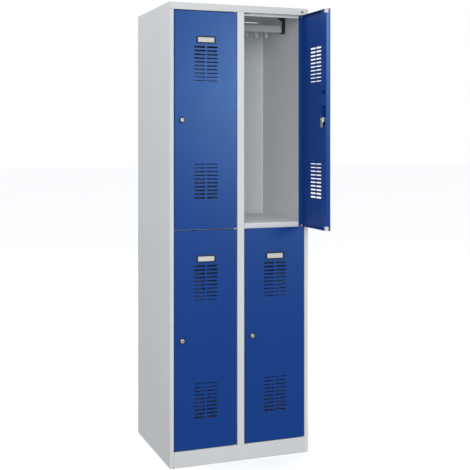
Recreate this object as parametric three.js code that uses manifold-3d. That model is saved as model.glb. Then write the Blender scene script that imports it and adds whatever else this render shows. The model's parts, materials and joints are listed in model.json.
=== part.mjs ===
// Two-column, two-tier steel locker cabinet with its upper right door open.
// Millimetres, +Z up, front towards -Y. Drawn from the front left floor corner, then centred.
import * as THREE from 'three';
import { mergeVertices } from 'three/addons/utils/BufferGeometryUtils.js';
import Module from 'manifold-3d';

const wasm = await Module();
wasm.setup();

// ---- Carcass ----
const cabinetWidth = 600;
const cabinetDepth = 500;
const cabinetHeight = 1850;
const bodySheet = 0.8;
const bendRadius = 1;
const seam = 0.3;
const outerStile = 16;
const middleStile = 30;
const topBand = 29;
const plinthHeight = 63;
const plinthFlange = 18;
const doorRecess = 21;
const endStopOverlap = 8;
const shelfStopOverlap = 16;
const lockStopWidth = 8;
const stileHem = 10;
const rearFlange = 15;
const shelfHem = 12;
const shelfSideFlange = 12;
const rearSlotWidth = 248;
const rearSlotDrop = 3;
const bufferReliefWidth = 26;
const bufferReliefInset = 3;
const bufferReliefDrop = 3;
const pinSlotLength = 13;
const pinSlotHeight = 6;
const pinSlotDrop = 16;

// ---- Doors ----
const sideGap = 2.5;
const endGap = 3;
const tierGap = 4;
const doorThickness = 18;
const doorSheet = 1;
const openAngle = 90;
const lockChannelWidth = 48;
const lockWindowInset = 10;
const lockWindowWidth = 36;
const lockWindowAbove = 55;
const lockWindowBelow = 19;
const spareHoleDiameter = 20;
const spareHoleInset = 26;
const spareHoleAboveLock = 110;
const ventRows = 10;
const ventPitch = 15;
const ventLength = 47.5;
const ventWeb = 5;
const ventTall = 7;
const ventShort = 3.4;
const ventTopInset = 144;
const ventBottomInset = 125.5;

// ---- Pivot hinges ----
const hingeInset = 7.5;
const hingeDepth = 7.5;
const pinDiameter = 6;
const pinReach = 4;
const pinClearance = 0.5;
const hingeTabSheet = 2;
const hingeTabWidth = 17;
const hingeCollarDiameter = 11;

// ---- Label holder ----
const labelWidth = 81;
const labelHeight = 28.5;
const labelThickness = 2.4;
const labelSideBorder = 6;
const labelBorder = 4.5;
const labelCorner = 2;
const labelDrop = 114.5;
const cardSheet = 0.6;
const cardMargin = 1.5;

// ---- Cam lock ----
const lockInset = 31;
const lockHoleClearance = 0.3;
const collarDiameter = 25;
const collarFaceDiameter = 21;
const collarHeight = 4.5;
const collarRim = 1.5;
const barrelDiameter = 18;
const headDiameter = 15.5;
const headHeight = 9;
const headChamfer = 1;
const lockCaseWidth = 23;
const lockCaseHeight = 19;
const lockCaseFront = 12;
const plugDiameter = 11;
const keyway = [2.6, 8, 6];
const camSheet = 2.5;
const camWidth = 16;
const camLength = 32;
const camCorner = 4;
const camGap = 0.5;
const camScrewDiameter = 9;
const camScrewHeight = 2.5;

// ---- Corner buffers ----
const bufferWidth = 14;
const bufferDepth = 10;
const bufferHeight = 17;
const bufferRadius = 2;

// ---- Clothes rail and hooks ----
const railHeight = 30;
const railWidth = 15;
const railWall = 1.5;
const railCorner = 3;
const railSlot = 6;
const railDrop = 59;
const railDepth = 247;
const bracketWeb = 7;
const bracketSaddle = 17;
const bracketFlare = 20;
const bracketStraight = 52;
const bracketFlareHeight = 16;
const bracketDrop = 79;
const bracketWidth = 22;
const hooksPerRail = 3;
const firstHook = -32;
const hookSpacing = 47;
const hookBar = 5;
const hookSlider = 10;
// The bar's middle line as pairs of (y, z), below the underside of the rail.
const hookBend = [
  [0, -2],
  [8, -11],
  [8, -21],
  [-2, -27],
  [-12, -21],
  [-14, -13],
];

// ---- Facets ----
const bendSteps = 2;
const ventSteps = 3;
const cornerSteps = 2;
const roundSteps = 16;
const pinSteps = 12;
const slotSteps = 6;
const sliderSides = 8;
const hookSides = 6;
const hookSteps = 8;
const overrun = 1;
const weld = 1e-4;

// ---- Derived places ----
const openingWidth = (cabinetWidth - 2 * outerStile - middleStile) / 2;
const openingBottom = plinthHeight;
const openingTop = cabinetHeight - topBand;
const doorWidth = openingWidth - 2 * sideGap;
const doorHeight = (openingTop - openingBottom - 2 * endGap - tierGap) / 2;
const lowerDoor = openingBottom + endGap;
const upperDoor = lowerDoor + doorHeight + tierGap;
const shelfMiddle = upperDoor - tierGap / 2;
const shelfTop = upperDoor + shelfStopOverlap;
const shelfLipBottom = lowerDoor + doorHeight - shelfStopOverlap;
const floorTop = lowerDoor + endStopOverlap;
const topStopBottom = upperDoor + doorHeight - endStopOverlap;
const stopBack = doorRecess + bodySheet;
const flangeFront = stopBack + seam;
const flangeBack = flangeFront + bodySheet;
const interiorFront = flangeBack + seam;
const pastBend = bendRadius + seam;
const webLeft = (cabinetWidth - bodySheet) / 2;
const webRight = webLeft + bodySheet;
const rearFace = cabinetDepth - bodySheet - seam;
const interiorRear = rearFace - bodySheet - seam;
const underTop = cabinetHeight - bodySheet - seam;
const lockHeight = doorHeight / 2;
const middleLeft = outerStile + openingWidth;
const middleRight = middleLeft + middleStile;

const columns = [
  { name: 'left', wallLeft: bodySheet + seam, left: outerStile, wallRight: webLeft - seam },
  { name: 'right', wallLeft: webRight + seam, left: middleRight, wallRight: cabinetWidth - bodySheet - seam },
];
const tiers = [
  { name: 'lower', doorBottom: lowerDoor, ceiling: shelfTop - bodySheet - seam },
  { name: 'upper', doorBottom: upperDoor, ceiling: underTop },
];

// ---- Solids: geometry in, joins and cuts, geometry out ----
function solidOf(geometry) {
  const bare = geometry.clone();
  bare.deleteAttribute('normal');
  bare.deleteAttribute('uv');
  const merged = mergeVertices(bare, weld);
  const corners = merged.index.array;
  const triVerts = [];
  for (let i = 0; i < corners.length; i += 3) {
    const [a, b, c] = corners.slice(i, i + 3);
    if (a !== b && b !== c && c !== a) triVerts.push(a, b, c);
  }
  const mesh = new wasm.Mesh({
    numProp: 3,
    vertProperties: merged.attributes.position.array,
    triVerts: Uint32Array.from(triVerts),
  });
  return new wasm.Manifold(mesh);
}

function geometryOf(solid) {
  const { vertProperties, triVerts } = solid.getMesh();
  const geometry = new THREE.BufferGeometry();
  geometry.setAttribute('position', new THREE.BufferAttribute(vertProperties, 3));
  geometry.setIndex(new THREE.BufferAttribute(triVerts, 1));
  geometry.computeVertexNormals();
  return geometry;
}

const join = (...solids) => solids.reduce((whole, solid) => whole.add(solid));
const cut = (solid, ...tools) => tools.reduce((whole, tool) => whole.subtract(tool), solid);

function box([x0, y0, z0], [x1, y1, z1]) {
  const geometry = new THREE.BoxGeometry(x1 - x0, y1 - y0, z1 - z0);
  return solidOf(geometry.translate((x0 + x1) / 2, (y0 + y1) / 2, (z0 + z1) / 2));
}

const axisX = new THREE.Vector3(1, 0, 0);
const axisY = new THREE.Vector3(0, 1, 0);
const axisZ = new THREE.Vector3(0, 0, 1);

function extruded(shape, length, basis, start) {
  const geometry = new THREE.ExtrudeGeometry(shape, { depth: length, bevelEnabled: false });
  return solidOf(geometry.applyMatrix4(basis).translate(start.x, start.y, start.z));
}

// A shape drawn in (x, y) runs along Z, one in (y, z) along X, and one in (x, z) along Y.
const alongZ = (shape, z0, z1) => extruded(shape, z1 - z0, new THREE.Matrix4(), new THREE.Vector3(0, 0, z0));
const alongX = (shape, x0, x1) =>
  extruded(shape, x1 - x0, new THREE.Matrix4().makeBasis(axisY, axisZ, axisX), new THREE.Vector3(x0, 0, 0));
const alongY = (shape, y0, y1) =>
  extruded(
    shape,
    y1 - y0,
    new THREE.Matrix4().makeBasis(axisX, axisZ, axisY.clone().negate()),
    new THREE.Vector3(0, y1, 0),
  );

// ---- Outlines ----
function outline(points) {
  const kept = points.filter((point, i) => point.distanceTo(points[(i + 1) % points.length]) > weld);
  return new THREE.Shape(kept);
}

function arc(centre, radius, from, to, steps) {
  return Array.from({ length: steps + 1 }, (_, i) => {
    const angle = THREE.MathUtils.degToRad(from + ((to - from) * i) / steps);
    return new THREE.Vector2(centre[0] + radius * Math.cos(angle), centre[1] + radius * Math.sin(angle));
  });
}

const circle = (centre, diameter, steps) => outline(arc(centre, diameter / 2, 0, 360, steps));

function roundedRectangle([left, bottom], [right, top], radius) {
  return outline([
    ...arc([right - radius, top - radius], radius, 0, 90, cornerSteps),
    ...arc([left + radius, top - radius], radius, 90, 180, cornerSteps),
    ...arc([left + radius, bottom + radius], radius, 180, 270, cornerSteps),
    ...arc([right - radius, bottom + radius], radius, 270, 360, cornerSteps),
  ]);
}

// A slot or bar with fully round ends, lying flat or standing up.
function oblong([x, y], width, height, steps) {
  const radius = Math.min(width, height) / 2;
  const reach = Math.abs(width - height) / 2;
  const [dx, dy, turn] = width > height ? [reach, 0, -90] : [0, reach, 0];
  return outline([
    ...arc([x + dx, y + dy], radius, turn, turn + 180, steps),
    ...arc([x - dx, y - dy], radius, turn + 180, turn + 360, steps),
  ]);
}

// A sheet folded at right angles. One face follows the path, the other lies `sheet` to its left,
// or to its right where sheet is negative.
function folded(path, sheet) {
  const points = path.map(([x, y]) => new THREE.Vector2(x, y));
  const last = points.length - 1;
  const heading = (i) => points[i + 1].clone().sub(points[i]).normalize();
  const across = (direction) => new THREE.Vector2(-direction.y, direction.x).multiplyScalar(sheet);
  const near = [points[0]];
  const far = [points[0].clone().add(across(heading(0)))];
  for (let i = 1; i < last; i += 1) {
    const before = heading(i - 1);
    const after = heading(i);
    const inwards = before.cross(after) * sheet > 0;
    const nearRadius = bendRadius + (inwards ? Math.abs(sheet) : 0);
    const farRadius = bendRadius + (inwards ? 0 : Math.abs(sheet));
    const centre = points[i].clone().addScaledVector(before, -nearRadius).addScaledVector(after, nearRadius);
    for (let step = 0; step <= bendSteps; step += 1) {
      const angle = (Math.PI / 2) * (step / bendSteps);
      const spoke = after.clone().multiplyScalar(-Math.cos(angle)).addScaledVector(before, Math.sin(angle));
      near.push(centre.clone().addScaledVector(spoke, nearRadius));
      far.push(centre.clone().addScaledVector(spoke, farRadius));
    }
  }
  near.push(points[last]);
  far.push(points[last].clone().add(across(heading(last - 1))));
  return outline([...near, ...far.reverse()]);
}

// ---- Materials ----
function paint(color, roughness) {
  return new THREE.MeshStandardMaterial({ color, roughness, metalness: 0 });
}
const bodyPaint = () => paint(0xd2d5d7, 0.45);
const doorPaint = () => paint(0x2c5496, 0.4);
const zinc = () => new THREE.MeshStandardMaterial({ color: 0xc4c6c8, roughness: 0.3, metalness: 1 });
const blackPlastic = () => paint(0x16181a, 0.5);
const whitePlastic = () => paint(0xe4e4e0, 0.5);
const greyPlastic = () => paint(0x9aa0a3, 0.5);
const labelPlastic = () => paint(0x23262c, 0.5);
const card = () => paint(0xf2f2ef, 0.9);

// ---- Carcass ----
const hingeX = (column) => column.left + openingWidth - sideGap - hingeInset;

// Both side panels are drawn as the left one: rear flange, wall, stile, then what closes the stile.
function sidePath(stileEnd) {
  return [
    [rearFlange, rearFace],
    [0, rearFace],
    [0, 0],
    [outerStile, 0],
    ...stileEnd,
  ];
}

function sideBlank(path, sheet) {
  const blank = alongZ(folded(path, sheet), 0, underTop);
  const bandSeat = box(
    [-overrun, -overrun, openingTop - seam],
    [cabinetWidth + overrun, bodySheet + seam, cabinetHeight],
  );
  return cut(blank, bandSeat);
}

// A lock stop ends under the door stop of the top panel, clear of the relief for the door's buffer.
function stopEnd(left) {
  return box(
    [left - bodySheet - overrun, doorRecess - seam, topStopBottom - seam],
    [left + lockStopWidth + overrun, interiorFront, cabinetHeight],
  );
}

function leftSide() {
  const lockStop = [
    [outerStile, flangeFront],
    [outerStile + lockStopWidth, flangeFront],
  ];
  const floorSeat = box(
    [outerStile + seam, doorRecess, -overrun],
    [outerStile + lockStopWidth + overrun, flangeBack + overrun, floorTop + seam],
  );
  return cut(sideBlank(sidePath(lockStop), bodySheet), floorSeat, stopEnd(outerStile));
}

function rightSide() {
  const hem = [
    [outerStile, flangeBack],
    [outerStile - stileHem, flangeBack],
  ];
  const mirrored = sidePath(hem).map(([x, y]) => [cabinetWidth - x, y]);
  return sideBlank(mirrored, -bodySheet);
}

// One sheet makes the wall between the columns, the middle stile and the right column's lock stop.
function divider() {
  const path = [
    [webLeft + rearFlange, rearFace],
    [webLeft, rearFace],
    [webLeft, flangeBack],
    [middleLeft, flangeBack],
    [middleLeft, 0],
    [middleRight, 0],
    [middleRight, flangeFront],
    [middleRight + lockStopWidth, flangeFront],
  ];
  const blank = alongZ(folded(path, bodySheet), openingBottom + seam, underTop);
  const full = [-overrun, cabinetWidth + overrun];
  return cut(
    blank,
    box([full[0], doorRecess - seam, 0], [full[1], cabinetDepth, floorTop + seam]),
    box([full[0], -overrun, openingTop - seam], [full[1], flangeFront, cabinetHeight]),
    box([full[0], doorRecess - seam, topStopBottom - seam], [full[1], flangeFront, cabinetHeight]),
    stopEnd(middleRight),
  );
}

function hingePin(column, bottom, top) {
  return alongZ(circle([hingeX(column), hingeDepth], pinDiameter, pinSteps), bottom, top);
}

// The washer under a door that takes its weight.
function hingeCollar(column, bottom, top) {
  return alongZ(circle([hingeX(column), hingeDepth], hingeCollarDiameter, pinSteps), bottom, top);
}

function topPanel() {
  const path = [
    [doorRecess, topStopBottom],
    [doorRecess, openingTop],
    [0, openingTop],
    [0, cabinetHeight],
    [cabinetDepth, cabinetHeight],
  ];
  const blank = alongX(folded(path, -bodySheet), 0, cabinetWidth);
  const underSheet = cabinetHeight - bodySheet;
  const stileSeats = [
    [-overrun, outerStile + pastBend],
    [cabinetWidth - outerStile - seam, cabinetWidth + overrun],
  ].map(([x0, x1]) => box([x0, bodySheet, topStopBottom - overrun], [x1, interiorFront, underSheet]));
  const reliefs = columns.map(({ left }) =>
    box(
      [left + seam, bufferReliefInset, openingTop - bufferReliefDrop],
      [left + bufferReliefWidth, stopBack + overrun, openingTop + bodySheet + overrun],
    ),
  );
  const slotCentre = [hingeX(columns[1]), cabinetHeight - pinSlotDrop];
  const pinSlot = alongY(
    oblong(slotCentre, pinSlotLength, pinSlotHeight, slotSteps),
    -overrun,
    bodySheet + overrun,
  );
  const pins = columns.map((column) =>
    hingePin(column, upperDoor + doorHeight - pinReach, openingTop + bodySheet),
  );
  return join(cut(blank, ...stileSeats, ...reliefs, pinSlot), ...pins);
}

function basePanel() {
  const path = [
    [plinthFlange, 0],
    [0, 0],
    [0, plinthHeight],
    [doorRecess, plinthHeight],
    [doorRecess, floorTop],
    [interiorRear, floorTop],
    [interiorRear, floorTop - rearFlange],
  ];
  const inner = bodySheet + seam;
  const blank = alongX(folded(path, -bodySheet), inner, cabinetWidth - inner);
  const stileSeats = [
    [0, outerStile + seam],
    [cabinetWidth - outerStile - seam, cabinetWidth],
  ].map(([x0, x1]) => box([x0, -overrun, -overrun], [x1, interiorFront, floorTop + overrun]));
  const pins = columns.map((column) => hingePin(column, plinthHeight - bodySheet, lowerDoor + pinReach));
  const collarFoot = plinthHeight - bodySheet / 2;
  const collars = columns.map((column) => hingeCollar(column, collarFoot, lowerDoor - seam));
  return join(cut(blank, ...stileSeats), ...pins, ...collars);
}

function backPanel() {
  const slotBottom = cabinetHeight - rearSlotDrop;
  const sheet = box([0, cabinetDepth - bodySheet, 0], [cabinetWidth, cabinetDepth, underTop]);
  const slots = columns.map(({ left }) => {
    const middle = left + openingWidth / 2;
    return box(
      [middle - rearSlotWidth / 2, rearFace, slotBottom],
      [middle + rearSlotWidth / 2, cabinetDepth + overrun, cabinetHeight],
    );
  });
  return cut(sheet, ...slots);
}

// A folded shelf whose front lip stops both doors and carries the pivots between them.
function shelf(column) {
  const path = [
    [doorRecess + shelfHem, shelfLipBottom],
    [doorRecess, shelfLipBottom],
    [doorRecess, shelfTop],
    [interiorRear, shelfTop],
    [interiorRear, shelfTop - rearFlange],
  ];
  const { wallLeft, wallRight, left } = column;
  const right = left + openingWidth;
  const low = shelfLipBottom - overrun;
  const high = shelfTop + overrun;
  const blank = alongX(folded(path, -bodySheet), wallLeft, wallRight);
  const flangeBottom = shelfTop - shelfSideFlange;
  const flangeTop = shelfTop - bodySheet / 2;
  const sideFlanges = [wallLeft, wallRight - bodySheet].map((x) =>
    box([x, interiorFront, flangeBottom], [x + bodySheet, interiorRear, flangeTop]),
  );
  const bracketSeat = bracketWidth / 2 + overrun;
  const notches = [
    box([0, 0, low], [left + pastBend, interiorFront, high]),
    box([0, stopBack, low], [left + lockStopWidth + seam, interiorFront, high]),
    box([right - seam, 0, low], [cabinetWidth, interiorFront, high]),
    box(
      [0, railDepth - bracketSeat, low],
      [cabinetWidth, railDepth + bracketSeat, shelfTop - bodySheet],
    ),
  ];
  const tabRight = right - seam;
  const tab = box(
    [tabRight - hingeTabWidth, hingeDepth - pinDiameter, shelfMiddle - hingeTabSheet / 2],
    [tabRight, doorRecess + bodySheet / 2, shelfMiddle + hingeTabSheet / 2],
  );
  const collarHalf = tierGap / 2 - seam;
  const collar = hingeCollar(column, shelfMiddle - collarHalf, shelfMiddle + collarHalf);
  const pinHalf = tierGap / 2 + pinReach;
  const pin = hingePin(column, shelfMiddle - pinHalf, shelfMiddle + pinHalf);
  return join(cut(join(blank, ...sideFlanges), ...notches), tab, collar, pin);
}

// ---- Door, drawn from its free bottom front corner ----
function ventSlots() {
  const slots = [];
  const columnShift = (ventWeb + ventLength) / 2;
  for (let row = 0; row < ventRows; row += 1) {
    const height = ventTall + ((ventShort - ventTall) * row) / (ventRows - 1);
    const rowHeights = [doorHeight - ventTopInset - row * ventPitch, ventBottomInset + row * ventPitch];
    for (const z of rowHeights) {
      for (const x of [doorWidth / 2 - columnShift, doorWidth / 2 + columnShift]) {
        const slot = oblong([x, z], ventLength, height, ventSteps);
        slots.push(alongY(slot, -overrun, doorSheet + overrun));
      }
    }
  }
  return wasm.Manifold.union(slots);
}

// A tray with rounded front edges. Its free side is turned in twice to form the lock channel.
function doorTray() {
  const outerRadius = bendRadius + doorSheet;
  const beyond = doorThickness + outerRadius;
  const block = alongZ(roundedRectangle([0, 0], [doorWidth, beyond], outerRadius), 0, doorHeight)
    .intersect(alongX(roundedRectangle([0, 0], [beyond, doorHeight], outerRadius), 0, doorWidth));
  const low = doorSheet;
  const high = doorHeight - doorSheet;
  const channelEnd = lockChannelWidth - doorSheet;
  return cut(
    block,
    box([-overrun, doorThickness, -overrun], [doorWidth + overrun, beyond + overrun, doorHeight + overrun]),
    box([lockChannelWidth, doorSheet, low], [doorWidth - doorSheet, doorThickness + overrun, high]),
    box([doorSheet, doorSheet, low], [channelEnd, doorThickness - doorSheet, high]),
    box([channelEnd - overrun, doorSheet, low], [lockChannelWidth + overrun, doorSheet + seam, high]),
  );
}

function doorPanel() {
  const pinHole = alongZ(
    circle([doorWidth - hingeInset, hingeDepth], pinDiameter + 2 * pinClearance, pinSteps),
    -overrun,
    doorHeight + overrun,
  );
  const lockHole = alongY(
    circle([lockInset, lockHeight], barrelDiameter + 2 * lockHoleClearance, roundSteps),
    -overrun,
    doorSheet + overrun,
  );
  const behind = [doorThickness - doorSheet - overrun, doorThickness + overrun];
  const lockWindow = box(
    [lockWindowInset, behind[0], lockHeight - lockWindowBelow],
    [lockWindowInset + lockWindowWidth, behind[1], lockHeight + lockWindowAbove],
  );
  const spareHole = alongY(
    circle([spareHoleInset, lockHeight + spareHoleAboveLock], spareHoleDiameter, pinSteps),
    behind[0],
    behind[1],
  );
  const bufferSeats = [-overrun, doorHeight - bufferHeight - seam].map((z) =>
    box(
      [-overrun, doorThickness - bufferDepth - seam, z],
      [bufferWidth + seam, behind[1], z + bufferHeight + seam + overrun],
    ),
  );
  return cut(doorTray(), ventSlots(), pinHole, lockHole, lockWindow, spareHole, ...bufferSeats);
}

// A block behind the label's window that reaches `margin` past the window on every side.
function labelBlock(margin, front, back) {
  const x = doorWidth / 2;
  const z = doorHeight - labelDrop;
  const halfWidth = labelWidth / 2 - labelSideBorder + margin;
  const halfHeight = labelHeight / 2 - labelBorder + margin;
  return box([x - halfWidth, front, z - halfHeight], [x + halfWidth, back, z + halfHeight]);
}

function labelFrame() {
  const x = doorWidth / 2;
  const z = doorHeight - labelDrop;
  const low = [x - labelWidth / 2, z - labelHeight / 2];
  const high = [x + labelWidth / 2, z + labelHeight / 2];
  const front = -seam - labelThickness;
  const plate = alongY(roundedRectangle(low, high, labelCorner), front, -seam);
  const windowHole = labelBlock(0, front - overrun, overrun);
  const pocket = labelBlock(cardMargin + seam, -cardSheet - 2 * seam, overrun);
  return cut(plate, windowHole, pocket);
}

const labelCard = () => labelBlock(cardMargin, -seam - cardSheet, -seam);

// A turned part on the lock's axis: pairs of [radius, depth], front to back.
function turned(profile) {
  const geometry = new THREE.LatheGeometry(profile.map(([r, y]) => new THREE.Vector2(r, y)), roundSteps);
  return solidOf(geometry.translate(lockInset, 0, lockHeight));
}

const caseBack = flangeBack + camGap - seam;
const camFront = flangeBack + camGap;

function lockBody() {
  const collar = turned([
    [0, -collarHeight],
    [collarFaceDiameter / 2, -collarHeight],
    [collarDiameter / 2, -collarRim],
    [collarDiameter / 2, -seam],
    [0, -seam],
  ]);
  const barrelRadius = barrelDiameter / 2;
  const barrel = turned([
    [0, -collarRim],
    [barrelRadius, -collarRim],
    [barrelRadius, caseBack],
    [0, caseBack],
  ]);
  const rearCase = box(
    [lockInset - lockCaseWidth / 2, lockCaseFront, lockHeight - lockCaseHeight / 2],
    [lockInset + lockCaseWidth / 2, caseBack, lockHeight + lockCaseHeight / 2],
  );
  const boreRadius = plugDiameter / 2 + seam;
  const bore = turned([
    [0, -collarHeight - overrun],
    [boreRadius, -collarHeight - overrun],
    [boreRadius, caseBack + overrun],
    [0, caseBack + overrun],
  ]);
  return cut(join(collar, barrel, rearCase), bore);
}

// The plug turns the cam from hanging down to pointing past the door's free edge.
function lockPlug() {
  const camBack = camFront + camSheet;
  const headRadius = headDiameter / 2;
  const plugRadius = plugDiameter / 2;
  const screwRadius = camScrewDiameter / 2;
  const plug = turned([
    [0, -headHeight],
    [headRadius - headChamfer, -headHeight],
    [headRadius, headChamfer - headHeight],
    [headRadius, -collarHeight - seam],
    [plugRadius, -collarHeight - seam],
    [plugRadius, camBack],
    [screwRadius, camBack],
    [screwRadius, camBack + camScrewHeight],
    [0, camBack + camScrewHeight],
  ]);
  const camEnd = camWidth / 2;
  const tip = lockHeight - camLength;
  const camLow = [lockInset - camEnd, tip];
  const camHigh = [lockInset + camEnd, lockHeight + camEnd];
  const cam = roundedRectangle(camLow, camHigh, camCorner);
  const [keyWidth, keyHeight, keyDepth] = keyway;
  const keySlot = box(
    [lockInset - keyWidth / 2, -headHeight - overrun, lockHeight - keyHeight / 2],
    [lockInset + keyWidth / 2, keyDepth - headHeight, lockHeight + keyHeight / 2],
  );
  return cut(join(plug, alongY(cam, camFront, camBack)), keySlot);
}

// A block in the notched free corner; it stands proud of the door's back and meets the stop first.
function cornerBuffer(bottom) {
  const block = roundedRectangle(
    [0, doorThickness - bufferDepth],
    [bufferWidth, doorRecess - seam],
    bufferRadius,
  );
  return alongZ(block, bottom, bottom + bufferHeight);
}

// ---- Clothes rail ----
// The rail's rounded section, `inset` inside its outer face.
function railOutline([y, z], inset) {
  const halfWidth = railWidth / 2 - inset;
  const halfHeight = railHeight / 2 - inset;
  const low = [y - halfWidth, z - halfHeight];
  const high = [y + halfWidth, z + halfHeight];
  return roundedRectangle(low, high, railCorner - inset);
}

function railEnds(column) {
  const inset = bracketWeb + seam;
  return [column.wallLeft + inset, column.wallRight - inset];
}

function clothesRail(column, tier) {
  const [start, end] = railEnds(column);
  const centre = [railDepth, tier.ceiling + seam - railDrop];
  const tube = alongX(railOutline(centre, 0), start, end);
  const hollow = alongX(railOutline(centre, railWall), start - overrun, end + overrun);
  const slot = box(
    [start - overrun, railDepth - railSlot / 2, centre[1] - railHeight],
    [end + overrun, railDepth + railSlot / 2, centre[1]],
  );
  return cut(tube, hollow, slot);
}

// A web down the wall, with a gusset under the ceiling and a saddle that the rail drops into.
function railBracket(tier, wall, inwards) {
  const { ceiling } = tier;
  const bottom = ceiling + seam - bracketDrop;
  const railCentre = ceiling + seam - railDrop;
  const saddleTop = railCentre + railHeight / 2;
  const flareTop = bottom + bracketStraight + bracketFlareHeight;
  const x = (distance) => wall + inwards * distance;
  const side = [
    [x(0), bottom],
    [x(bracketSaddle), bottom],
    [x(bracketSaddle), saddleTop],
    [x(bracketWeb), saddleTop],
    [x(bracketWeb), bottom + bracketStraight],
    [x(bracketWeb + bracketFlare), flareTop],
    [x(bracketWeb + bracketFlare), ceiling],
    [x(0), ceiling],
  ];
  const body = alongY(
    outline(side.map(([px, pz]) => new THREE.Vector2(px, pz))),
    railDepth - bracketWidth / 2,
    railDepth + bracketWidth / 2,
  );
  const [start, end] = [x(bracketWeb), x(bracketSaddle + overrun)].sort((a, b) => a - b);
  const halfSeat = railWidth / 2 + seam;
  const seat = box(
    [start, railDepth - halfSeat, railCentre - railHeight / 2 - seam],
    [end, railDepth + halfSeat, saddleTop + overrun],
  );
  return cut(body, seat);
}

// A J-shaped hook under a round slider that runs inside the slotted rail.
function hook() {
  const runHeight = (railHeight - railWidth) / 2;
  const sliderRadius = railWidth / 2 - railWall - seam;
  const sliderEnd = circle([0, -runHeight], 2 * sliderRadius, sliderSides);
  const slider = alongX(sliderEnd, -hookSlider / 2, hookSlider / 2);
  const bend = hookBend.map(([y, z]) => new THREE.Vector3(0, y, z - railHeight / 2));
  const curve = new THREE.CatmullRomCurve3([new THREE.Vector3(0, 0, -runHeight), ...bend]);
  const bar = new THREE.ExtrudeGeometry(circle([0, 0], hookBar, hookSides), {
    steps: hookSteps,
    bevelEnabled: false,
    extrudePath: curve,
  });
  return join(slider, solidOf(bar));
}

// ---- Assembly ----
function addMesh(parent, name, geometry, material) {
  const mesh = new THREE.Mesh(geometry, material);
  mesh.name = name;
  parent.add(mesh);
  return mesh;
}

function addCarcass(cabinet) {
  addMesh(cabinet, 'left_side_panel', geometryOf(leftSide()), bodyPaint());
  addMesh(cabinet, 'right_side_panel', geometryOf(rightSide()), bodyPaint());
  addMesh(cabinet, 'centre_divider', geometryOf(divider()), bodyPaint());
  addMesh(cabinet, 'top_panel', geometryOf(topPanel()), bodyPaint());
  addMesh(cabinet, 'base_panel', geometryOf(basePanel()), bodyPaint());
  addMesh(cabinet, 'back_panel', geometryOf(backPanel()), bodyPaint());
  for (const column of columns) {
    addMesh(cabinet, `${column.name}_shelf`, geometryOf(shelf(column)), bodyPaint());
  }
}

function addRail(cabinet, column, tier, hookGeometry) {
  const place = `${tier.name}_${column.name}`;
  addMesh(cabinet, `${place}_rail`, geometryOf(clothesRail(column, tier)), zinc());
  const leftBracket = railBracket(tier, column.wallLeft, 1);
  const rightBracket = railBracket(tier, column.wallRight, -1);
  addMesh(cabinet, `${place}_rail_bracket_left`, geometryOf(leftBracket), blackPlastic());
  addMesh(cabinet, `${place}_rail_bracket_right`, geometryOf(rightBracket), blackPlastic());
  for (let i = 0; i < hooksPerRail; i += 1) {
    const mesh = addMesh(cabinet, `${place}_hook_${i + 1}`, hookGeometry, greyPlastic());
    const x = column.left + openingWidth / 2 + firstHook + i * hookSpacing;
    mesh.position.set(x, railDepth, tier.ceiling + seam - railDrop);
  }
}

const doorParts = {
  door_panel: [geometryOf(doorPanel()), doorPaint],
  label_frame: [geometryOf(labelFrame()), labelPlastic],
  label_card: [geometryOf(labelCard()), card],
  lock_body: [geometryOf(lockBody()), blackPlastic],
  lock_plug: [geometryOf(lockPlug()), zinc],
  buffer_top: [geometryOf(cornerBuffer(doorHeight - bufferHeight)), whitePlastic],
  buffer_bottom: [geometryOf(cornerBuffer(0)), whitePlastic],
};

function addDoor(cabinet, column, tier) {
  const hinge = new THREE.Group();
  hinge.position.set(hingeX(column), hingeDepth, tier.doorBottom);
  const leaf = new THREE.Group();
  leaf.position.set(hingeInset - doorWidth, -hingeDepth, 0);
  for (const [part, [geometry, material]] of Object.entries(doorParts)) {
    addMesh(leaf, `${tier.name}_${column.name}_${part}`, geometry, material());
  }
  hinge.add(leaf);
  cabinet.add(hinge);
  return hinge;
}

function buildCabinet() {
  const cabinet = new THREE.Group();
  addCarcass(cabinet);
  const hookGeometry = geometryOf(hook());
  for (const tier of tiers) {
    for (const column of columns) {
      addRail(cabinet, column, tier, hookGeometry);
      const hinge = addDoor(cabinet, column, tier);
      const standsOpen = tier.name === 'upper' && column.name === 'right';
      if (standsOpen) hinge.rotation.z = THREE.MathUtils.degToRad(openAngle);
    }
  }
  return cabinet;
}

// The origin is on the floor, under the centre of the box round the whole cabinet.
function centred(cabinet) {
  const bounds = new THREE.Box3().setFromObject(cabinet, true);
  const middle = bounds.getCenter(new THREE.Vector3());
  cabinet.position.set(-middle.x, -middle.y, -bounds.min.z);
  return cabinet;
}

export default centred(buildCabinet());
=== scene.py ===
"""Steel locker cabinet, two columns by two tiers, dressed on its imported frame.

Metres, +Z up, front towards -Y. Profiles and boxes of the hardware are in mm.
"""

import json
import math

import bmesh
import bpy
from mathutils import Matrix, Vector

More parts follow.
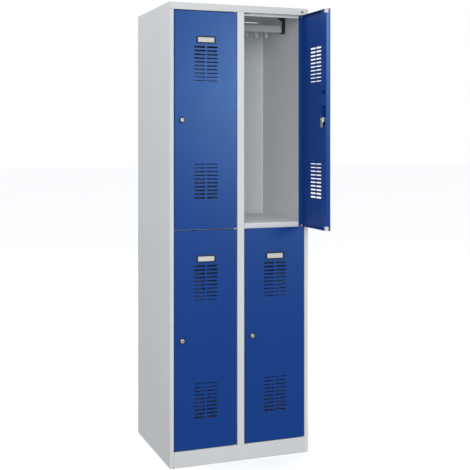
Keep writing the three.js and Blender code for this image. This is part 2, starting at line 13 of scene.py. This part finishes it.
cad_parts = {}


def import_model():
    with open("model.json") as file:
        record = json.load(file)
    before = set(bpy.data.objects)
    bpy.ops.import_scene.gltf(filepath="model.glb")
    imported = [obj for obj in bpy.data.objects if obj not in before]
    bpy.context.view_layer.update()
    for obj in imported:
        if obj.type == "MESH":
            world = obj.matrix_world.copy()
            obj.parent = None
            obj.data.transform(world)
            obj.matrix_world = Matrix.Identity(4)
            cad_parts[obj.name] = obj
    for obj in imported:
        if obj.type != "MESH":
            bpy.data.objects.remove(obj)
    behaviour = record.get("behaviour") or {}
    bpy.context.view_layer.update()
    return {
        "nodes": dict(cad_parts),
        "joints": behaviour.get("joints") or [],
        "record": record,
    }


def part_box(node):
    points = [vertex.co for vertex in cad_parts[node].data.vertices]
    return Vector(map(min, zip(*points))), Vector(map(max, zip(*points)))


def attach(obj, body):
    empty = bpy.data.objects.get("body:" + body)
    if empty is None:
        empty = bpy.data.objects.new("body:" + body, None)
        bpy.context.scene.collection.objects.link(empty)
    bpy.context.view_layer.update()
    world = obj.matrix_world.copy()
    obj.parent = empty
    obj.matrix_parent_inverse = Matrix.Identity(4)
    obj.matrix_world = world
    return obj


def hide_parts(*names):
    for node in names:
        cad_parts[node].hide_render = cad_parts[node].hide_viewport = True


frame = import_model()
PLACES = ("lower_left", "lower_right", "upper_left", "upper_right")
MM = 0.001


# ---------------------------------------------------------------- node helpers
class Tree:
    """A material's node tree, built from a Principled shader."""

    def __init__(self, name, colour, roughness, metallic=0.0, specular=0.5):
        self.material = bpy.data.materials.new(name)
        self.material.use_nodes = True
        self.nodes = self.material.node_tree.nodes
        self.links = self.material.node_tree.links
        self.shader = self.nodes["Principled BSDF"]
        self.set("Base Color", (*colour, 1.0))
        self.set("Roughness", roughness)
        self.set("Metallic", metallic)
        self.set("Specular IOR Level", specular)
        self.place = self.nodes.new("ShaderNodeTexCoord").outputs["Object"]

    def set(self, socket, value):
        self.shader.inputs[socket].default_value = value

    def scaled(self, scale):
        node = self.nodes.new("ShaderNodeMapping")
        node.inputs["Scale"].default_value = scale
        self.links.new(self.place, node.inputs["Vector"])
        return node.outputs["Vector"]

    def noise(self, scale, detail=2.0, roughness=0.5, stretch=None):
        node = self.nodes.new("ShaderNodeTexNoise")
        node.inputs["Scale"].default_value = scale
        node.inputs["Detail"].default_value = detail
        node.inputs["Roughness"].default_value = roughness
        self.links.new(self.scaled(stretch) if stretch else self.place, node.inputs["Vector"])
        return node.outputs["Fac"]

    def remap(self, value, low, high, to_low=0.0, to_high=1.0):
        node = self.nodes.new("ShaderNodeMapRange")
        for socket, number in zip(("From Min", "From Max", "To Min", "To Max"), (low, high, to_low, to_high)):
            node.inputs[socket].default_value = number
        self.links.new(value, node.inputs["Value"])
        return node.outputs["Result"]

    def spread(self, noise, to_low=0.0, to_high=1.0):
        """The middle of a noise's range, where nearly all of it lies, stretched to a new range."""
        return self.remap(noise, 0.3, 0.7, to_low, to_high)

    def mix(self, factor, a, b):
        node = self.nodes.new("ShaderNodeMix")
        node.data_type = "RGBA"
        self.links.new(factor, node.inputs["Factor"])
        for socket, colour in (("A", a), ("B", b)):
            slot = [s for s in node.inputs if s.name == socket and s.type == "RGBA"][0]
            if isinstance(colour, tuple):
                slot.default_value = (*colour, 1.0)
            else:
                self.links.new(colour, slot)
        return [s for s in node.outputs if s.type == "RGBA"][0]

    def colour(self, value):
        self.links.new(value, self.shader.inputs["Base Color"])

    def rough(self, value):
        self.links.new(value, self.shader.inputs["Roughness"])

    def bump(self, height, distance, strength=1.0):
        node = self.nodes.new("ShaderNodeBump")
        node.inputs["Distance"].default_value = distance
        node.inputs["Strength"].default_value = strength
        self.links.new(height, node.inputs["Height"])
        before = self.shader.inputs["Normal"]
        if before.is_linked:
            self.links.new(before.links[0].from_socket, node.inputs["Normal"])
        self.links.new(node.outputs["Normal"], before)


def shade(colour, factor):
    return tuple(min(1.0, c * factor) for c in colour)


# ---------------------------------------------------------------- materials
# Noise scales per metre and bump heights in metres of the powder coat.
WAVES, WAVE_HEIGHT = 2.1, 0.0012
ORANGE_PEEL, ORANGE_PEEL_HEIGHT = 520.0, 0.00002


def powder_coat(name, colour, roughness, specular, tint):
    """Smooth powder coat: a fine orange peel over sheet that is not quite flat, with a faint mottle."""
    tree = Tree(name, colour, roughness, specular=specular)
    mottle = tree.mix(tree.spread(tree.noise(3.2, 3.0)), shade(colour, 0.98), shade(colour, 1.02))
    speck = tree.remap(tree.noise(700.0, 1.0), 0.62, 0.8)
    tree.colour(tree.mix(speck, mottle, tint))
    tree.rough(tree.spread(tree.noise(26.0, 3.0), roughness - 0.012, roughness + 0.016))
    tree.bump(tree.noise(WAVES, 1.0), WAVE_HEIGHT)
    tree.bump(tree.noise(ORANGE_PEEL, 2.0), ORANGE_PEEL_HEIGHT)
    return tree.material


def body_paint():
    colour, tint = (0.565, 0.585, 0.595), (0.60, 0.615, 0.62)
    return powder_coat("body_powder_coat", colour, roughness=0.46, specular=0.1, tint=tint)


def door_paint():
    """The blue coat, whose gloss is blue as well."""
    colour, tint = (0.0064, 0.0395, 0.208), (0.0092, 0.0475, 0.232)
    made = powder_coat("door_powder_coat", colour, roughness=0.35, specular=0.2, tint=tint)
    made.node_tree.nodes["Principled BSDF"].inputs["Specular Tint"].default_value = (0.35, 0.65, 1.0, 1.0)
    return made


def plated(name, colour, roughness, grain):
    """Plated metal with the drawn grain that shows through it."""
    tree = Tree(name, colour, roughness, metallic=1.0)
    streak = tree.noise(1.0, 3.0, 0.6, stretch=grain)
    tree.colour(tree.mix(tree.spread(streak), shade(colour, 0.95), shade(colour, 1.04)))
    tree.rough(tree.spread(tree.noise(240.0, 2.0), roughness - 0.03, roughness + 0.04))
    tree.bump(streak, 0.00004)
    return tree.material


def zinc():
    return plated("bright_zinc", (0.64, 0.64, 0.62), roughness=0.40, grain=(900.0, 900.0, 2400.0))


def rail_steel():
    """Satin steel, which the photo shows paler and less mirror-like than bare metal."""
    made = plated("satin_rail", (0.53, 0.545, 0.555), roughness=0.42, grain=(30.0, 1800.0, 1800.0))
    made.node_tree.nodes["Principled BSDF"].inputs["Metallic"].default_value = 0.25
    return made


def moulded(name, colour, roughness, specular=0.5):
    """Moulded plastic with a spark-eroded texture and a faint flow mottle."""
    tree = Tree(name, colour, roughness, specular=specular)
    tree.colour(tree.mix(tree.spread(tree.noise(60.0, 2.0)), shade(colour, 0.94), shade(colour, 1.05)))
    tree.rough(tree.spread(tree.noise(400.0, 2.0), roughness - 0.05, roughness + 0.06))
    tree.bump(tree.noise(1500.0, 2.0), 0.00005)
    return tree.material


def paper():
    """Card stock with a visible fibre."""
    colour = (0.55, 0.55, 0.54)
    tree = Tree("label_card_stock", colour, roughness=0.72, specular=0.25)
    fibre = tree.noise(1.0, 4.0, 0.65, stretch=(260.0, 900.0, 900.0))
    tree.colour(tree.mix(tree.spread(fibre), shade(colour, 0.95), shade(colour, 1.04)))
    tree.bump(fibre, 0.00005)
    return tree.material


MATERIALS = {
    "body_paint": body_paint(),
    "door_paint": door_paint(),
    "zinc": zinc(),
    "rail_metal": rail_steel(),
    "black_plastic": moulded("black_nylon", (0.012, 0.012, 0.013), roughness=0.42),
    "grey_plastic": moulded("grey_nylon", (0.60, 0.62, 0.63), roughness=0.40),
    "white_plastic": moulded("white_nylon", (0.62, 0.61, 0.57), roughness=0.45),
    "label_plastic": moulded("label_frame_black", (0.013, 0.015, 0.022), roughness=0.30),
    "card": paper(),
}


# ---------------------------------------------------------------- mesh helpers
SHARP_ANGLE = math.radians(38)
MERGE_DISTANCE = 1e-7
SMALLEST_RING = 0.02


def piece(name, mesh, body, slot, place, replaces=()):
    """A mesh as a piece: smooth by angle, painted from its record slot, riding on a body."""
    obj = bpy.data.objects.new(name, mesh)
    bpy.context.scene.collection.objects.link(obj)
    obj.matrix_world = place
    mesh.materials.clear()
    mesh.materials.append(MATERIALS[slot])
    smooth(mesh)
    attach(obj, body)
    if replaces:
        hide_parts(*replaces)
    return obj


def smooth(mesh):
    """Shades a mesh smooth, apart from its edges sharper than SHARP_ANGLE."""
    for polygon in mesh.polygons:
        polygon.use_smooth = True
    mesh.set_sharp_from_angle(angle=SHARP_ANGLE)


def mesh_of(name, bm):
    """A bmesh as a mesh with its doubles merged and its faces turned outwards."""
    mesh = bpy.data.meshes.new(name)
    bmesh.ops.remove_doubles(bm, verts=bm.verts, dist=MERGE_DISTANCE)
    bmesh.ops.recalc_face_normals(bm, faces=bm.faces)
    bm.to_mesh(mesh)
    bm.free()
    return mesh


def lathe(bm, profile, centre, segments=48):
    """Turns (radius, depth) pairs in mm round the depth axis through centre (u, w).

    A profile with its ends at radius 0 is solid.
    """
    rings = []
    for radius, depth in profile:
        ring = []
        for i in range(segments if radius else 1):
            a = 2 * math.pi * i / segments
            u = centre[0] + radius * math.cos(a)
            w = centre[1] + radius * math.sin(a)
            ring.append(bm.verts.new(Vector((u, depth, w)) * MM))
        rings.append(ring)
    for one, two in zip(rings, rings[1:] + rings[:1]):
        for i in range(segments):
            j = (i + 1) % segments
            around = (one[i % len(one)], one[j % len(one)], two[j % len(two)], two[i % len(two)])
            corners = list(dict.fromkeys(around))
            if len(corners) > 2:
                bm.faces.new(corners)


def tube(inner, outer, low, high):
    """The profile of a straight tube, or of a rod where inner is 0."""
    return [(inner, low), (outer, low), (outer, high), (inner, high)]


def block(bm, low, high, bevel, segments=3):
    """A box in mm with rounded edges."""
    made = bmesh.ops.create_cube(bm, size=1.0)
    low, high = Vector(low) * MM, Vector(high) * MM
    size = high - low
    middle = (low + high) / 2
    for vert in made["verts"]:
        vert.co = Vector(tuple(middle[i] + vert.co[i] * size[i] for i in range(3)))
    edges = list({e for v in made["verts"] for e in v.link_edges})
    bmesh.ops.bevel(bm, geom=edges, offset=bevel * MM, segments=segments, profile=0.5, affect="EDGES")


def prism(bm, points, low, high, bevel, segments=2):
    """A plate through (u, w) points in mm, from depth low to high, with its rims rounded."""
    front = [bm.verts.new(Vector((u, low, w)) * MM) for u, w in points]
    back = [bm.verts.new(Vector((u, high, w)) * MM) for u, w in points]
    rims = [bm.faces.new(front), bm.faces.new(list(reversed(back)))]
    for i in range(len(points)):
        j = (i + 1) % len(points)
        bm.faces.new((front[j], front[i], back[i], back[j]))
    edges = list({e for f in rims for e in f.edges})
    bmesh.ops.bevel(bm, geom=edges, offset=bevel * MM, segments=segments, profile=0.5, affect="EDGES")


def rounded(low, high, radius, steps):
    """Corner points of a rounded rectangle."""
    points = []
    corners = ((high[0], high[1], 0), (low[0], high[1], 90), (low[0], low[1], 180), (high[0], low[1], 270))
    for x, z, start in corners:
        cx = x - math.copysign(radius, x - (low[0] + high[0]) / 2)
        cz = z - math.copysign(radius, z - (low[1] + high[1]) / 2)
        for i in range(steps + 1):
            a = math.radians(start + 90 * i / steps)
            points.append((cx + radius * math.cos(a), cz + radius * math.sin(a)))
    return points


def sweep(bm, path, radius, sides):
    """A round bar along a path in mm in the plane u = 0, with a domed tip."""
    frames = []
    for i, point in enumerate(path):
        ahead = path[min(i + 1, len(path) - 1)] - path[max(i - 1, 0)]
        frames.append((point, ahead.normalized(), radius))
    tip, along, _ = frames[-1]
    for degrees in (30, 55, 75, 90):
        a = math.radians(degrees)
        frames.append((tip + along * radius * math.sin(a), along, max(radius * math.cos(a), SMALLEST_RING)))
    rings = []
    for point, along, r in frames:
        across = Vector((1, 0, 0))
        up = along.cross(across)
        ring = [
            bm.verts.new((point + (across * math.cos(t) + up * math.sin(t)) * r) * MM)
            for t in (2 * math.pi * k / sides for k in range(sides))
        ]
        rings.append(ring)
    for one, two in zip(rings, rings[1:]):
        for k in range(sides):
            j = (k + 1) % sides
            bm.faces.new((one[k], one[j], two[j], two[k]))
    bm.faces.new(rings[0])
    bm.faces.new(list(reversed(rings[-1])))


def catmull(points, steps):
    """Points of a smooth curve through the given ones."""
    ends = [points[0] * 2 - points[1], *points, points[-1] * 2 - points[-2]]
    found = []
    for a, b, c, d in zip(ends, ends[1:], ends[2:], ends[3:]):
        slope, bend, twist = c - a, a * 2 - b * 5 + c * 4 - d, b * 3 - a - c * 3 + d
        for i in range(steps):
            t = i / steps
            found.append((b * 2 + slope * t + bend * t * t + twist * t**3) / 2)
    return [*found, points[-1]]


def cut(obj, cutters):
    """The mesh of a loose object less its cutters. All these objects are then gone."""
    for cutter in cutters:
        step = obj.modifiers.new("cut", "BOOLEAN")
        step.operation = "DIFFERENCE"
        step.solver = "EXACT"
        step.object = cutter
    bpy.context.view_layer.update()
    graph = bpy.context.evaluated_depsgraph_get()
    mesh = bpy.data.meshes.new_from_object(obj.evaluated_get(graph))
    for done in (*cutters, obj):
        bpy.data.objects.remove(done)
    return mesh


def loose(name, bm):
    """An object that is only made to be cut or to cut."""
    obj = bpy.data.objects.new(name, mesh_of(name, bm))
    bpy.context.scene.collection.objects.link(obj)
    return obj


# ---------------------------------------------------------------- CAD nodes
WELD_DISTANCE = 1e-6
BEVEL_ANGLE = math.radians(55)
SPLIT_ANGLE = math.radians(50)
# Widths in mm of the rounded edges, by a word in the node's name.
BEVELS = {"buffer": 0.7, "rail_bracket": 0.8, "label_frame": 0.4, "label_card": 0.1}


def soften(node, bevel):
    """Welds a node's facets, rounds its hard edges and evens its shading. The mesh itself stays as packed."""
    obj = frame["nodes"][node]
    for polygon in obj.data.polygons:
        polygon.use_smooth = True
    weld = obj.modifiers.new("weld", "WELD")
    weld.merge_threshold = WELD_DISTANCE
    if bevel:
        step = obj.modifiers.new("rounded edges", "BEVEL")
        step.width = bevel * MM
        step.segments = 2
        step.limit_method = "ANGLE"
        step.angle_limit = BEVEL_ANGLE
        step.use_clamp_overlap = True
    split = obj.modifiers.new("hard edges", "EDGE_SPLIT")
    split.split_angle = SPLIT_ANGLE
    split.use_edge_sharp = False
    obj.modifiers.new("even shading", "WEIGHTED_NORMAL")


for sub in frame["record"]["subparts"]:
    materials = frame["nodes"][sub["node"]].data.materials
    materials.clear()
    materials.append(MATERIALS[sub["material_slot"]])
    soften(sub["node"], next((width for word, width in BEVELS.items() if word in sub["node"]), 0.0))


# ---------------------------------------------------------------- door hardware
# The keyway in mm from the lock's axis: a slot with a rounder part in it, above the axis.
KEYWAY_HALF, KEYWAY_FOOT, KEYWAY_TOP = 2.1, 4.1, 3.6
KEYWAY_ROUND, KEYWAY_ROUND_UP = 2.7, 1.5


def door_place(name):
    """Where a door's own axes lie: u from the free edge, v into the door, w up from its foot.

    A shut door is wide along x. The open one has turned a quarter turn about its right edge.
    """
    low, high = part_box(f"{name}_door_panel")
    if high.x - low.x > high.y - low.y:
        return Matrix.Translation(low)
    turned = Matrix(((0, -1, 0), (1, 0, 0), (0, 0, 1))).to_4x4()
    return Matrix.Translation(Vector((high.x, low.y, low.z))) @ turned


def local_box(node, place):
    """A node's lowest and highest corner in mm in a door's own axes."""
    back = place.inverted()
    corners = [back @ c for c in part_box(node)]
    low = Vector(tuple(min(corners[0][i], corners[1][i]) for i in range(3))) / MM
    high = Vector(tuple(max(corners[0][i], corners[1][i]) for i in range(3))) / MM
    return low, high


def lock_axis(name, place):
    """The centre (u, w) of a door's lock body, and the depths of its front and back."""
    low, high = local_box(f"{name}_lock_body", place)
    return ((low.x + high.x) / 2, (low.z + high.z) / 2), low.y, high.y


def lock_collar(name, place):
    """The black rose round the lock's head."""
    centre, front, _ = lock_axis(name, place)
    hole, flat, rim, seat = 6.4, 9.8, 12.5, -0.3
    profile = [
        (hole, front + 1.0), (hole + 0.2, front + 0.15), (hole + 0.5, front),
        (flat, front), (flat + 0.4, front + 0.18),
        (rim - 0.5, front + 2.3), (rim - 0.1, front + 2.9), (rim, front + 3.4),
        (rim, seat - 0.15), (rim - 0.2, seat), (hole, seat),
    ]
    bm = bmesh.new()
    lathe(bm, profile, centre, segments=72)
    replaced = (f"{name}_lock_body",)
    piece(f"{name}_lock_rose", mesh_of("rose", bm), f"{name}_door", "black_plastic", place, replaced)


def lock_case(name, place):
    """The die-cast barrel and case behind the door."""
    (u, w), _, back = lock_axis(name, place)
    bore, barrel, barrel_front = 5.85, 8.85, -0.2
    half_width, half_height, case_front = 11.5, 9.5, 12.0
    bm = bmesh.new()
    lathe(bm, tube(bore, barrel, barrel_front, case_front + 0.1), (u, w))
    case = bmesh.new()
    low, high = (u - half_width, case_front, w - half_height), (u + half_width, back, w + half_height)
    block(case, low, high, bevel=1.1)
    hole = bmesh.new()
    lathe(hole, tube(0, bore, case_front - 2, back + 2), (u, w))
    bm.from_mesh(cut(loose("case", case), [loose("hole", hole)]))
    return piece(f"{name}_lock_case", mesh_of("case", bm), f"{name}_door", "zinc", place)


def lock_head(name, place):
    """The plated head with its keyway, the plug behind it and the cam on its screw."""
    (u, w), _, _ = lock_axis(name, place)
    low, high = local_box(f"{name}_lock_plug", place)
    front, screw_back = low.y, high.y
    screw_height, screw_radius, cam_thickness, cam_half = 2.5, 4.4, 2.5, 8
    cam_back = screw_back - screw_height
    cam_front = cam_back - cam_thickness
    dish, dish_depth, rim, rim_thickness, plug = 3.0, 1.4, 7.75, 4.2, 5.5
    profile = [
        (0, front + dish_depth), (dish, front + dish_depth), (dish + 0.4, front + 0.4), (dish + 0.8, front),
        (rim - 0.85, front), (rim - 0.4, front + 0.12), (rim - 0.1, front + 0.4), (rim, front + 0.8),
        (rim, front + rim_thickness - 0.2), (rim - 0.1, front + rim_thickness - 0.05),
        (plug, front + rim_thickness), (plug, cam_front), (plug - 0.6, cam_front + 0.3), (0, cam_front + 0.3),
    ]
    head = bmesh.new()
    lathe(head, profile, (u, w), segments=72)
    keyway_front, keyway_back = front - 1, front + 6
    slot = bmesh.new()
    slot_low = (u - KEYWAY_HALF, keyway_front, w - KEYWAY_FOOT)
    slot_high = (u + KEYWAY_HALF, keyway_back, w + KEYWAY_TOP)
    block(slot, slot_low, slot_high, bevel=0.3, segments=2)
    wide = bmesh.new()
    lathe(wide, tube(0, KEYWAY_ROUND, keyway_front, keyway_back), (u, w + KEYWAY_ROUND_UP), segments=24)
    bm = bmesh.new()
    bm.from_mesh(cut(loose("head", head), [loose("slot", slot), loose("round", wide)]))
    cam = rounded((u - cam_half, low.z), (u + cam_half, w + cam_half), radius=5.5, steps=7)
    prism(bm, cam, cam_front, cam_back, bevel=0.35)
    turns = [math.radians(degrees) for degrees in range(0, 360, 60)]
    hexagon = [(u + screw_radius * math.cos(a), w + screw_radius * math.sin(a)) for a in turns]
    prism(bm, hexagon, cam_back - 0.1, screw_back, bevel=0.4)
    replaced = (f"{name}_lock_plug",)
    return piece(f"{name}_lock_head", mesh_of("lock_head", bm), f"{name}_lock", "zinc", place, replaced)


def painted_shade_wafers(name, place):
    """The wafers in the keyway, which reach into its walls. They are black as painted shade, which darkens
    the inside of the keyway.
    """
    (u, w), _, _ = lock_axis(name, place)
    low, _ = local_box(f"{name}_lock_plug", place)
    first, step, thickness = 1.9, 0.8, 0.5
    half, foot = KEYWAY_HALF + 0.4, KEYWAY_FOOT + 0.5
    bm = bmesh.new()
    for i, top in enumerate((1.6, 1.1, 1.6, 1.1)):
        depth = low.y + first + i * step
        block(bm, (u - half, depth, w - foot), (u + half, depth + thickness, w + top), bevel=0.08, segments=1)
    # Black plastic here is painted shade: it stands in for the shade inside the keyway.
    piece(f"{name}_keyway_wafers_painted_shade", mesh_of("painted_shade_wafers", bm), f"{name}_lock", "black_plastic", place)


# ---------------------------------------------------------------- rail hooks
# The slider's axis and the rail's underside, in mm from the rail's middle.
SLIDER_AXIS, RAIL_UNDERSIDE = -7.5, -15.0
# The bar's bend below the rail as (y, z) from that underside.
HOOK_BEND = ((0, -0.5), (1.2, -4), (8, -11), (8, -21), (-2, -27), (-12, -21), (-14, -13.6))


def rail_hook(name, number):
    """A moulded hook: a slider inside the rail, and a bent bar that leaves through the rail's slot."""
    node = f"{name}_hook_{number}"
    low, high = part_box(node)
    rail_low, rail_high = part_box(f"{name}_rail")
    centre = Vector(((low.x + high.x) / 2, (rail_low.y + rail_high.y) / 2, (rail_low.z + rail_high.z) / 2))
    radius, half, chamfer = 5.7, 5, 0.8
    slider = [
        (0, -half), (radius - chamfer, -half), (radius, chamfer - half),
        (radius, half - chamfer), (radius - chamfer, half), (0, half),
    ]
    bm = bmesh.new()
    lathe(bm, slider, (0, 0), segments=32)
    bmesh.ops.transform(bm, matrix=Matrix.Rotation(math.pi / 2, 4, "Z"), verts=bm.verts)
    bmesh.ops.translate(bm, vec=Vector((0, 0, SLIDER_AXIS)) * MM, verts=bm.verts)
    points = [(0, SLIDER_AXIS), *((y, RAIL_UNDERSIDE + z) for y, z in HOOK_BEND)]
    sweep(bm, catmull([Vector((0, y, z)) for y, z in points], steps=7), radius=2.5, sides=18)
    piece(f"{node}_moulded", mesh_of("hook", bm), node, "grey_plastic", Matrix.Translation(centre), (node,))


# ---------------------------------------------------------------- pivots
WASHER_PLAY = 0.2
FOOT_WASHER_THICKNESS = 2.7
PIVOTS = {
    joint["name"].removesuffix("_door_swing"): joint["pos_m"]
    for joint in frame["joints"]
    if joint["name"].endswith("_door_swing")
}


def pivot_washer(name, x, y, low, high):
    """A plated washer round the pin that a door turns on, from low to high in mm."""
    inner, outer, chamfer = 3.2, 5.75, 0.3
    profile = [
        (inner, low), (outer - chamfer, low), (outer, low + chamfer),
        (outer, high - chamfer), (outer - chamfer, high), (inner, high),
    ]
    bm = bmesh.new()
    lathe(bm, profile, (0, 0), segments=40)
    bmesh.ops.transform(bm, matrix=Matrix.Rotation(math.pi / 2, 4, "X"), verts=bm.verts)
    piece(name, mesh_of("washer", bm), "cabinet", "zinc", Matrix.Translation((x, y, 0)))


bright_parts = []
for place_name in PLACES:
    spot = door_place(place_name)
    lock_collar(place_name, spot)
    bright_parts.append(lock_case(place_name, spot))
    bright_parts.append(lock_head(place_name, spot))
    painted_shade_wafers(place_name, spot)
    for hook_number in (1, 2, 3):
        rail_hook(place_name, hook_number)
for column in ("left", "right"):
    x, y, _ = PIVOTS[f"lower_{column}"]
    foot, head = (corner.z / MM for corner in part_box(f"lower_{column}_door_panel"))
    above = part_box(f"upper_{column}_door_panel")[0].z / MM
    pivot_washer(f"pivot_washer_middle_{column}", x, y, head + WASHER_PLAY, above - WASHER_PLAY)
    foot_top = foot - WASHER_PLAY
    pivot_washer(f"pivot_washer_foot_{column}", x, y, foot_top - FOOT_WASHER_THICKNESS, foot_top)


# ---------------------------------------------------------------- stage
FLOOR_HALF = 40
FLOOR_DROP = 0.0005
WORLD_STRENGTH = 1.12


def floor():
    """A pale floor just under the cabinet, left out of reflections and bounced light."""
    bm = bmesh.new()
    bmesh.ops.create_grid(bm, x_segments=1, y_segments=1, size=FLOOR_HALF)
    mesh = mesh_of("floor", bm)
    tree = Tree("floor_pale", (0.93, 0.93, 0.93), roughness=0.6, specular=0.1)
    mesh.materials.append(tree.material)
    obj = bpy.data.objects.new("floor", mesh)
    obj.location.z = -FLOOR_DROP
    bpy.context.scene.collection.objects.link(obj)
    obj.visible_glossy = obj.visible_diffuse = False


def world():
    """Soft surroundings that get brighter overhead. The camera itself sees plain white."""
    made = bpy.data.worlds.new("studio")
    made.use_nodes = True
    nodes, links = made.node_tree.nodes, made.node_tree.links
    nodes.clear()
    out = nodes.new("ShaderNodeOutputWorld")
    place = nodes.new("ShaderNodeTexCoord").outputs["Generated"]
    split = nodes.new("ShaderNodeSeparateXYZ")
    links.new(place, split.inputs[0])
    ramp = nodes.new("ShaderNodeValToRGB")
    # From just under the horizon (0.5) to overhead (1).
    stops = ramp.color_ramp.elements
    stops[0].position, stops[0].color = 0.47, (0.52, 0.525, 0.53, 1)
    stops[1].position, stops[1].color = 0.5, (0.24, 0.245, 0.25, 1)
    for position, level in ((0.65, 0.24), (0.85, 0.8), (1.0, 2.0)):
        stops.new(position).color = (level, level * 1.01, level * 1.03, 1)
    half = nodes.new("ShaderNodeMapRange")
    half.inputs["From Min"].default_value = -1.0
    links.new(split.outputs["Z"], half.inputs["Value"])
    links.new(half.outputs["Result"], ramp.inputs["Fac"])
    lit, seen = nodes.new("ShaderNodeBackground"), nodes.new("ShaderNodeBackground")
    links.new(ramp.outputs["Color"], lit.inputs["Color"])
    lit.inputs["Strength"].default_value = WORLD_STRENGTH
    seen.inputs["Color"].default_value = (1, 1, 1, 1)
    mix = nodes.new("ShaderNodeMixShader")
    links.new(nodes.new("ShaderNodeLightPath").outputs["Is Camera Ray"], mix.inputs[0])
    links.new(lit.outputs[0], mix.inputs[1])
    links.new(seen.outputs[0], mix.inputs[2])
    links.new(mix.outputs[0], out.inputs["Surface"])
    bpy.context.scene.world = made


def softbox(name, place, target, size, power):
    """A rectangular lamp at place that faces target, in metres and watts."""
    data = bpy.data.lights.new(name, "AREA")
    data.shape, data.size, data.size_y, data.energy = "RECTANGLE", size[0], size[1], power
    obj = bpy.data.objects.new(name, data)
    obj.location = place
    obj.rotation_euler = (Vector(target) - Vector(place)).to_track_quat("-Z", "Y").to_euler()
    bpy.context.scene.collection.objects.link(obj)
    return obj


def group_of(name, objects):
    group = bpy.data.collections.new(name)
    for obj in objects:
        group.objects.link(obj)
    return group


def only_on(light, objects):
    """Limits a light to some objects."""
    light.light_linking.receiver_collection = group_of(f"{light.name}_receivers", objects)


def shaded_by(light, objects):
    """Lets only some objects cast shadows in a light."""
    light.light_linking.blocker_collection = group_of(f"{light.name}_screens", objects)


def reflection(name, place, size, power, objects):
    """A softbox that only shows as a reflection, and only in some objects."""
    light = softbox(name, place, (0, 0, 1.3), size, power)
    light.visible_diffuse = False
    only_on(light, objects)


def camera():
    """The camera fitted to the photo: level, above the cabinet's middle, with the picture shifted."""
    data = bpy.data.cameras.new("camera")
    data.lens, data.sensor_width = 71.54, 36.0
    data.shift_x, data.shift_y = 0.0, -0.2018
    data.clip_start, data.clip_end = 0.05, 200.0
    obj = bpy.data.objects.new("camera", data)
    obj.location = (-1.3496, -3.6754, 1.3008)
    obj.rotation_euler = (math.radians(90), 0, math.radians(-20.453))
    bpy.context.scene.collection.objects.link(obj)
    bpy.context.scene.camera = obj


floor()
world()
camera()
softbox("key_softbox", (-1.3, -4.3, 2.0), (0.1, 0, 1.1), size=(2.2, 2.6), power=123)
softbox("left_softbox", (-2.2, 0.2, 3.2), (-0.3, 0.1, 1.8), size=(1.2, 1.2), power=24)
softbox("side_softbox", (-3.8, 0.4, 2.6), (-0.3, 0.1, 1.3), size=(1.6, 1.6), power=9)
softbox("rear_softbox", (1.5, 4.5, 3.0), (0, 0.3, 1.0), size=(3.0, 2.0), power=60)

# Lights that only show as reflections in the doors and the locks.
nodes = frame["nodes"]
panels = {place: nodes[f"{place}_door_panel"] for place in PLACES}
open_panels = [panels["upper_right"]]
closed_panels = [panels[place] for place in PLACES if place != "upper_right"]
reflection("sheen_on_closed_doors", (2.15, -4.4, 1.85), size=(1.2, 0.9), power=240, objects=closed_panels)
reflection("sheen_on_open_door", (2.1, -4.4, 2.6), size=(1.3, 1.1), power=275, objects=open_panels)
reflection("glint_on_locks", (1.4, -4.4, 1.3), size=(2.6, 2.4), power=14, objects=bright_parts)

# Fills for the right side panel, the divider and the right shelf, which the other lights leave too dark.
wall_light = softbox("wall_softbox", (-3.2, -2.6, 1.5), (0.29, 0, 1.4), size=(1.5, 1.5), power=29)
wall_light.data.color = (0.93, 0.99, 1.0)
only_on(wall_light, [nodes["right_side_panel"]])
screens = [panels[place] for place in PLACES if place != "upper_left"]
shaded_by(wall_light, [*screens, nodes["right_shelf"], nodes["left_side_panel"], nodes["top_panel"]])
upper_light = softbox("upper_softbox", (0.6, -1.7, 2.4), (0.05, -0.12, 1.6), size=(0.9, 0.9), power=4.5)
only_on(upper_light, [nodes["centre_divider"], nodes["right_shelf"]])
shelf_light = softbox("shelf_softbox", (0.15, -1.6, 2.6), (0.15, 0, 0.95), size=(0.9, 0.9), power=8)
shelf_light.data.use_shadow = False
only_on(shelf_light, [nodes["right_shelf"]])

bpy.context.scene.view_settings.view_transform = "Standard"
bpy.context.scene.view_settings.look = "None"
